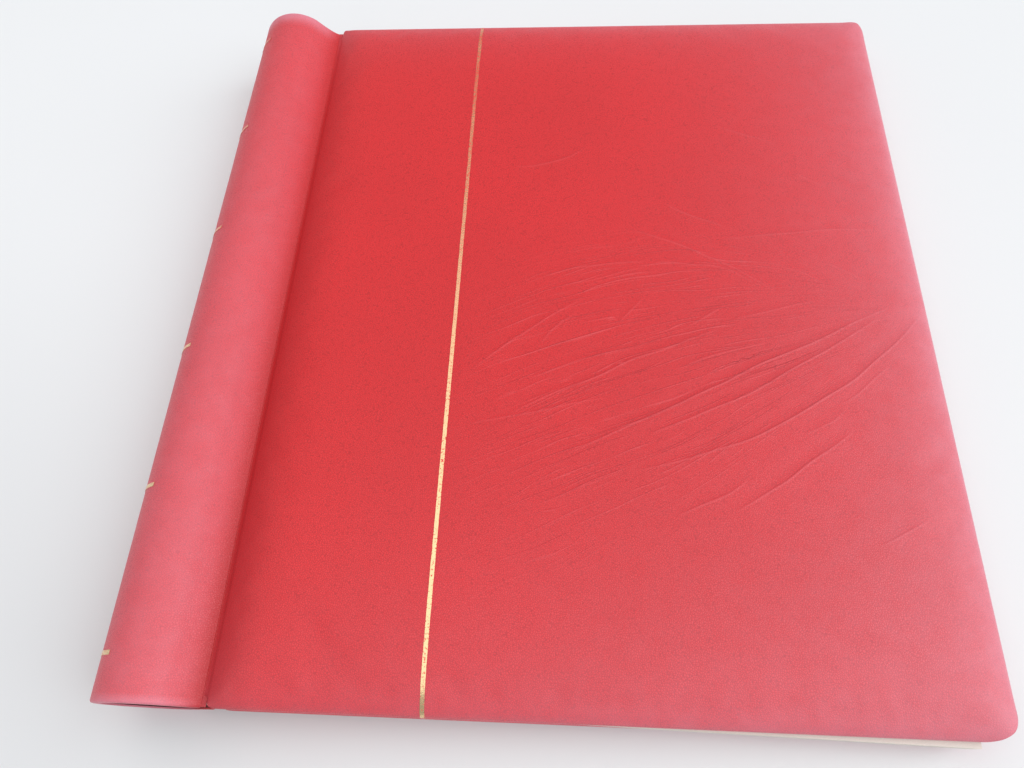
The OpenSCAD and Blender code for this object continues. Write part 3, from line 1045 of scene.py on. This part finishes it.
def gold_material():
    """Gold foil with specks where it has come off, and blended with the leatherette towards the
    head: painted dulling for its weaker reflection there.
    """
    def build(nodes, colours):
        here = in_album(nodes)
        grain = nodes.use(pebble_group(), Vector=here, Cells=GRAIN_CELLS)
        chips = nodes.noise(here, 1500.0, 2.0)
        along = nodes.parts(here)["Y"]
        # Painted dulling: less gold and more leatherette towards the head, for the weaker
        # reflection there
        more_specks_towards_head = nodes.between(along, -0.06, 0.15, 0.0, 0.1)
        painted_dulling = nodes.between(along, -0.12, 0.10, 0.0, 0.5)
        wear = nodes.total(chips, more_specks_towards_head, nodes.product(nodes.noise(here, 60.0, 2.0), 0.25))
        whole = nodes.product(nodes.between(wear, 0.86, 0.68), nodes.rest(painted_dulling))
        gilt = nodes.blend(nodes.noise(here, 300.0, 2.0), colours.gold, darker(colours.gold, 0.85))
        return {"Base Color": nodes.blend(whole, colours.leather, gilt), "Metallic": whole,
                "Roughness": nodes.between(chips, 0.3, 0.7, 0.2, 0.34),
                "Normal": nodes.bump(grain["Height"], 0.02)}

    return material_once("Gold foil", build)


def paper_material(name, rgb, fibres=1400.0, depth=0.012, roughness=0.8, alpha=1.0):
    """Paper or board. See-through paper is clear from its inner side, so that light which
    passes both faces of a sheet is dimmed once."""
    def build(nodes, colours):
        fibre = nodes.use(fibre_group(), Vector=in_album(nodes), Scale=fibres)
        inputs = {"Base Color": nodes.blend(fibre["Tone"], darker(rgb, 0.86), rgb),
                  "Roughness": roughness, "Normal": nodes.bump(fibre["Height"], depth)}
        if alpha < 1:
            outside = nodes.rest(nodes.add("NewGeometry").outputs["Backfacing"])
            inputs["Alpha"] = nodes.product(outside, alpha)
        return inputs

    return material_once(name, build)


RULED_MIDDLE = 152.5 * MM              # the ruled field's middle, from the spine's centre line
RULED_HALF = (100 * MM, 135 * MM)
RULING = 2.5 * MM


def ruled_card_material():
    """Cream card with a border and a faint quadrille ruling, as blank album leaves have."""
    def build(nodes, colours):
        here = in_album(nodes, GUARD_SKEW)
        fibre = nodes.use(fibre_group(), Vector=here, Scale=1400.0)
        card = nodes.blend(fibre["Tone"], darker(colours.card, 0.9), colours.card)
        place = nodes.parts(here)

        def ruling(along, half):
            """In one direction: where the field, its lines and its border lie."""
            reach = nodes.math("ABSOLUTE", along)
            from_border = nodes.math("ABSOLUTE", nodes.math("SUBTRACT", reach, half))
            return (nodes.between(reach, half + 0.1 * MM, half),
                    nodes.between(nodes.math("PINGPONG", along, RULING), 0.12 * MM, 0.04 * MM),
                    nodes.between(from_border, 0.35 * MM, 0.25 * MM))

        across = nodes.math("SUBTRACT", place["X"], RULED_MIDDLE)
        field_x, lines_x, border_x = ruling(across, RULED_HALF[0])
        field_y, lines_y, border_y = ruling(place["Y"], RULED_HALF[1])
        ruled = nodes.product(field_x, field_y, nodes.math("MAXIMUM", lines_x, lines_y))
        framed = nodes.math("MAXIMUM", nodes.product(border_x, field_y),
                            nodes.product(border_y, field_x))
        ink = nodes.math("MAXIMUM", nodes.product(ruled, 0.28), nodes.product(framed, 0.8))
        return {"Base Color": nodes.blend(ink, card, colours.rule), "Roughness": 0.75,
                "Normal": nodes.bump(fibre["Height"], 0.012)}

    return material_once("Ruled album card", build)


def cloth_material(name, rgb, threads=9000.0):
    def build(nodes, colours):
        weave = nodes.use(weave_group(), Vector=in_album(nodes), Threads=threads)
        return {"Base Color": nodes.blend(weave["Tone"], darker(rgb, 0.6), rgb),
                "Roughness": 0.85, "Sheen Weight": 0.2, "Normal": nodes.bump(weave["Height"], 0.05)}

    return material_once(name, build)


def foam_material():
    def build(nodes, colours):
        pores = nodes.cells(object_place(nodes), 1100.0, "F1")
        foam = nodes.blend(nodes.between(pores, 0.25, 0.7), darker(colours.foam, 0.62),
                           colours.foam)
        return {"Base Color": foam, "Roughness": 0.9, "Normal": nodes.bump(pores, 0.3)}

    return material_once("Foam padding", build)


STEEL_STAIN = (0.20, 0.15, 0.11)


def steel_material():
    """Brushed and blued steel with brown stains."""
    def build(nodes, colours):
        here = in_album(nodes)
        brushed = nodes.noise(nodes.vector("MULTIPLY", here, (1.0, 0.02, 1.0)), 3000.0, 3.0)
        stain = nodes.between(nodes.noise(here, 60.0, 3.0), 0.4, 0.75)
        return {"Base Color": nodes.blend(stain, colours.steel, STEEL_STAIN), "Metallic": 1.0,
                "Roughness": nodes.between(brushed, 0.3, 0.7, 0.28, 0.45),
                "Normal": nodes.bump(brushed, 0.01)}

    return material_once("Blued spring steel", build)


def dress_node(name, material):
    obj = frame["nodes"][name]
    if obj.material_slots:
        for holder in obj.material_slots:
            holder.material = material
    else:
        obj.data.materials.append(material)


# ---- Stage ----

FRAME_WIDTH = 1024                     # pixels
CAMERA_F = 717.3                       # focal length in those pixels
CAMERA_MIDDLE = (4.3, 45.3)            # the lens axis, right of and below the frame's middle
CAMERA_AT = Vector((0.0134, -0.166, 0.2618))
CAMERA_RIGHT = Vector((0.99606, 0.0419, -0.07814))
CAMERA_DOWN = Vector((0.00611, -0.91164, -0.41095))
CAMERA_AHEAD = Vector((-0.08845, 0.40886, -0.9083))
SENSOR = 36


def make_camera():
    data = bpy.data.cameras.new("Camera")
    data.sensor_width = SENSOR
    data.lens = CAMERA_F / FRAME_WIDTH * SENSOR
    data.shift_x = -CAMERA_MIDDLE[0] / FRAME_WIDTH
    data.shift_y = CAMERA_MIDDLE[1] / FRAME_WIDTH
    data.clip_start = 10 * MM
    obj = bpy.data.objects.new("Camera", data)
    turn = Matrix((CAMERA_RIGHT, -CAMERA_DOWN, -CAMERA_AHEAD)).transposed()
    obj.matrix_world = Matrix.Translation(CAMERA_AT) @ turn.to_4x4()
    bpy.context.scene.collection.objects.link(obj)
    bpy.context.scene.camera = obj


def make_light(name, towards, strength, spread, tint):
    """A broad even light from a direction. spread is the angle that its source spans."""
    data = bpy.data.lights.new(name, "SUN")
    data.energy = strength
    data.angle = math.radians(spread)
    data.color = tint
    obj = bpy.data.objects.new(name, data)
    obj.location = Vector(towards).normalized() * 1.5
    obj.rotation_euler = Vector(towards).to_track_quat("Z", "Y").to_euler()
    bpy.context.scene.collection.objects.link(obj)


def make_floor(rgb):
    """A pale table top with faint mottling, and painted shade that makes it a little duller in
    front of the album's tail.
    """
    def build(nodes, colours):
        here = object_place(nodes)
        place = nodes.parts(here)
        from_front = nodes.total(nodes.product(place["X"], 0.7), nodes.product(place["Y"], 1.5))
        # Faint mottling, and painted shade in front of the album's tail, most towards the left
        dull = nodes.total(nodes.product(nodes.noise(here, 6.0, 3.0), 0.1),
                           nodes.between(from_front, -0.05, -0.4, 0.0, 0.45))
        return {"Base Color": nodes.blend(dull, rgb, darker(rgb, 0.74)), "Roughness": 0.6}

    start_clean()
    bpy.ops.mesh.primitive_plane_add(size=6, location=(0, 0, 0))
    obj = bpy.context.object
    obj.data.transform(Matrix.Translation((0, 0, -0.25 * MM)))
    obj.name = "Table top"
    obj.data.materials.append(material_once("Table top", build))


def make_world():
    """An even pale room, seen brighter than it lights."""
    world = bpy.data.worlds.new("Room")
    bpy.context.scene.world = world
    world.use_nodes = True
    world.node_tree.nodes.clear()
    nodes = Nodes(world.node_tree)
    room = nodes.add("Background", {"Color": (0.95, 0.97, 1.0, 1), "Strength": 0.46})
    seen = nodes.add("Background", {"Color": (0.91, 0.92, 0.93, 1), "Strength": 1.0})
    mixed = nodes.add("MixShader", {0: nodes.add("LightPath").outputs["Is Camera Ray"],
                                    1: room.outputs[0], 2: seen.outputs[0]})
    nodes.add("OutputWorld", {"Surface": mixed.outputs[0]})


# ---- Operators ----

def made_piece(name):
    obj = bpy.data.objects.get(name)
    if obj is None:
        raise RuntimeError(name + " has to be made first")
    return obj


class AlbumFrontCover(bpy.types.Operator):
    """Make the front cover's padded leatherette."""

    bl_idname = "album.front_cover"
    bl_label = "Front cover leatherette"

    def execute(self, context):
        size = context.scene.album_cover
        make_cover_leather("front_cover_leather", size, size.front_rise, size.front_run,
                           COVER, "front_cover", "front_skin", True)
        return {"FINISHED"}


class AlbumBackCover(bpy.types.Operator):
    """Make the back cover's padded leatherette, pressed flat under the album."""

    bl_idname = "album.back_cover"
    bl_label = "Back cover leatherette"

    def execute(self, context):
        size = context.scene.album_cover
        make_cover_leather("back_cover_leather", size, size.back_rise, size.back_run,
                           BACK_COVER, "back_cover", "back_skin", False)
        return {"FINISHED"}


class AlbumPadding(bpy.types.Operator):
    """Make the foam under both covers' leatherette."""

    bl_idname = "album.padding"
    bl_label = "Foam padding"

    def execute(self, context):
        size = context.scene.album_cover
        make_padding("front_foam", size, size.front_rise, size.front_run, COVER,
                     "front_cover", "front_padding")
        make_padding("back_foam", size, size.back_rise, size.back_run, BACK_COVER,
                     "back_cover", "back_padding")
        return {"FINISHED"}


class AlbumSpineLeather(bpy.types.Operator):
    """Make the leatherette round the spine."""

    bl_idname = "album.spine"
    bl_label = "Spine leatherette"

    def execute(self, context):
        make_spine_leather("spine_leather", context.scene.album_cover, context.scene.album_spine)
        return {"FINISHED"}


class AlbumJoints(bpy.types.Operator):
    """Make the leatherette that crosses both covers' hinge lines."""

    bl_idname = "album.joints"
    bl_label = "Joint leatherette"

    def execute(self, context):
        cover = context.scene.album_cover
        make_joint_leather("front_joint_leather", cover, Matrix.Identity(4))
        make_joint_leather("back_joint_leather", cover, MIRROR)
        return {"FINISHED"}


class AlbumGoldLine(bpy.types.Operator):
    """Lay the gold line on the front cover's leatherette."""

    bl_idname = "album.gold_line"
    bl_label = "Gold line"

    def execute(self, context):
        make_gold_line("front_gold_foil", made_piece("front_cover_leather"),
                       context.scene.album_gold)
        return {"FINISHED"}


class AlbumLeafHinges(bpy.types.Operator):
    """Make the linen hinges of the leaves."""

    bl_idname = "album.leaf_hinges"
    bl_label = "Leaf hinges"

    def execute(self, context):
        for leaf in LEAVES:
            make_leaf_hinge(leaf)
        return {"FINISHED"}


class AlbumInside(bpy.types.Operator):
    """Give the boards, steel, card, paper, cloth and gold bands their materials."""

    bl_idname = "album.inside"
    bl_label = "Inside materials"

    def execute(self, context):
        colours = context.scene.album_colours
        board = paper_material("Grey board", colours.board, 900.0, 0.03, 0.9)
        pressboard = paper_material("Pressboard", colours.pressboard, 700.0, 0.02, 0.7)
        endpaper = paper_material("Endpaper", colours.endpaper, 1100.0, 0.015, 0.8)
        plain_card = paper_material("Guard card", colours.card)
        glassine = paper_material("Glassine", colours.glassine, 260.0, 0.01, 0.35, 0.42)
        cloth = cloth_material("Book cloth", colours.cloth)
        finishes = {
            "front_board": board, "back_board": board, "spine_former": pressboard,
            "front_lining": endpaper, "back_lining": endpaper, "leaf_guards": plain_card,
            "front_lever": cloth, "back_lever": cloth, "spine_lining": cloth,
            "spine_spring": steel_material(), "spine_gold_bands": gold_material(),
        }
        for leaf in LEAVES:
            finishes[leaf] = ruled_card_material()
            finishes["inter" + leaf] = glassine
        for name, material in finishes.items():
            dress_node(name, material)
        return {"FINISHED"}


class AlbumStage(bpy.types.Operator):
    """Set the table, the light and the camera."""

    bl_idname = "album.stage"
    bl_label = "Table, light and camera"

    def execute(self, context):
        make_floor(context.scene.album_colours.floor)
        make_world()
        make_light("Ceiling", (-0.15, 0.12, 0.98), 0.84, 66, (1.0, 0.98, 0.96))
        make_light("Right window", (0.78, -0.04, 0.62), 1.78, 58, (0.93, 0.965, 1.0))
        make_camera()
        context.scene.view_settings.view_transform = "Standard"
        return {"FINISHED"}


OPERATORS = (AlbumFrontCover, AlbumBackCover, AlbumPadding, AlbumSpineLeather, AlbumJoints,
             AlbumGoldLine, AlbumLeafHinges, AlbumInside, AlbumStage)


class AlbumPanel(bpy.types.Panel):
    """Lists the album's sizes, colours and pieces."""

    bl_idname = "VIEW3D_PT_stamp_album"
    bl_label = "Stamp album"
    bl_space_type = "VIEW_3D"
    bl_region_type = "UI"
    bl_category = "Album"

    def draw(self, context):
        for group_name in SETTINGS:
            box = self.layout.box()
            settings = getattr(context.scene, group_name)
            for key in settings.bl_rna.properties.keys():
                if key not in {"rna_type", "name"}:
                    box.prop(settings, key)
        for operator in OPERATORS:
            self.layout.operator(operator.bl_idname)


SETTINGS = {"album_cover": AlbumCover, "album_spine": AlbumSpine, "album_gold": AlbumGold,
            "album_colours": AlbumColours}


def register():
    for kind in (*SETTINGS.values(), *OPERATORS, AlbumPanel):
        bpy.utils.register_class(kind)
    for name, kind in SETTINGS.items():
        setattr(bpy.types.Scene, name, bpy.props.PointerProperty(type=kind))


def unregister():
    for name in SETTINGS:
        delattr(bpy.types.Scene, name)
    for kind in (AlbumPanel, *reversed(OPERATORS), *SETTINGS.values()):
        bpy.utils.unregister_class(kind)


def main():
    register()
    for operator in OPERATORS:
        section, name = operator.bl_idname.split(".")
        getattr(getattr(bpy.ops, section), name)()


if __name__ == "__main__":
    main()
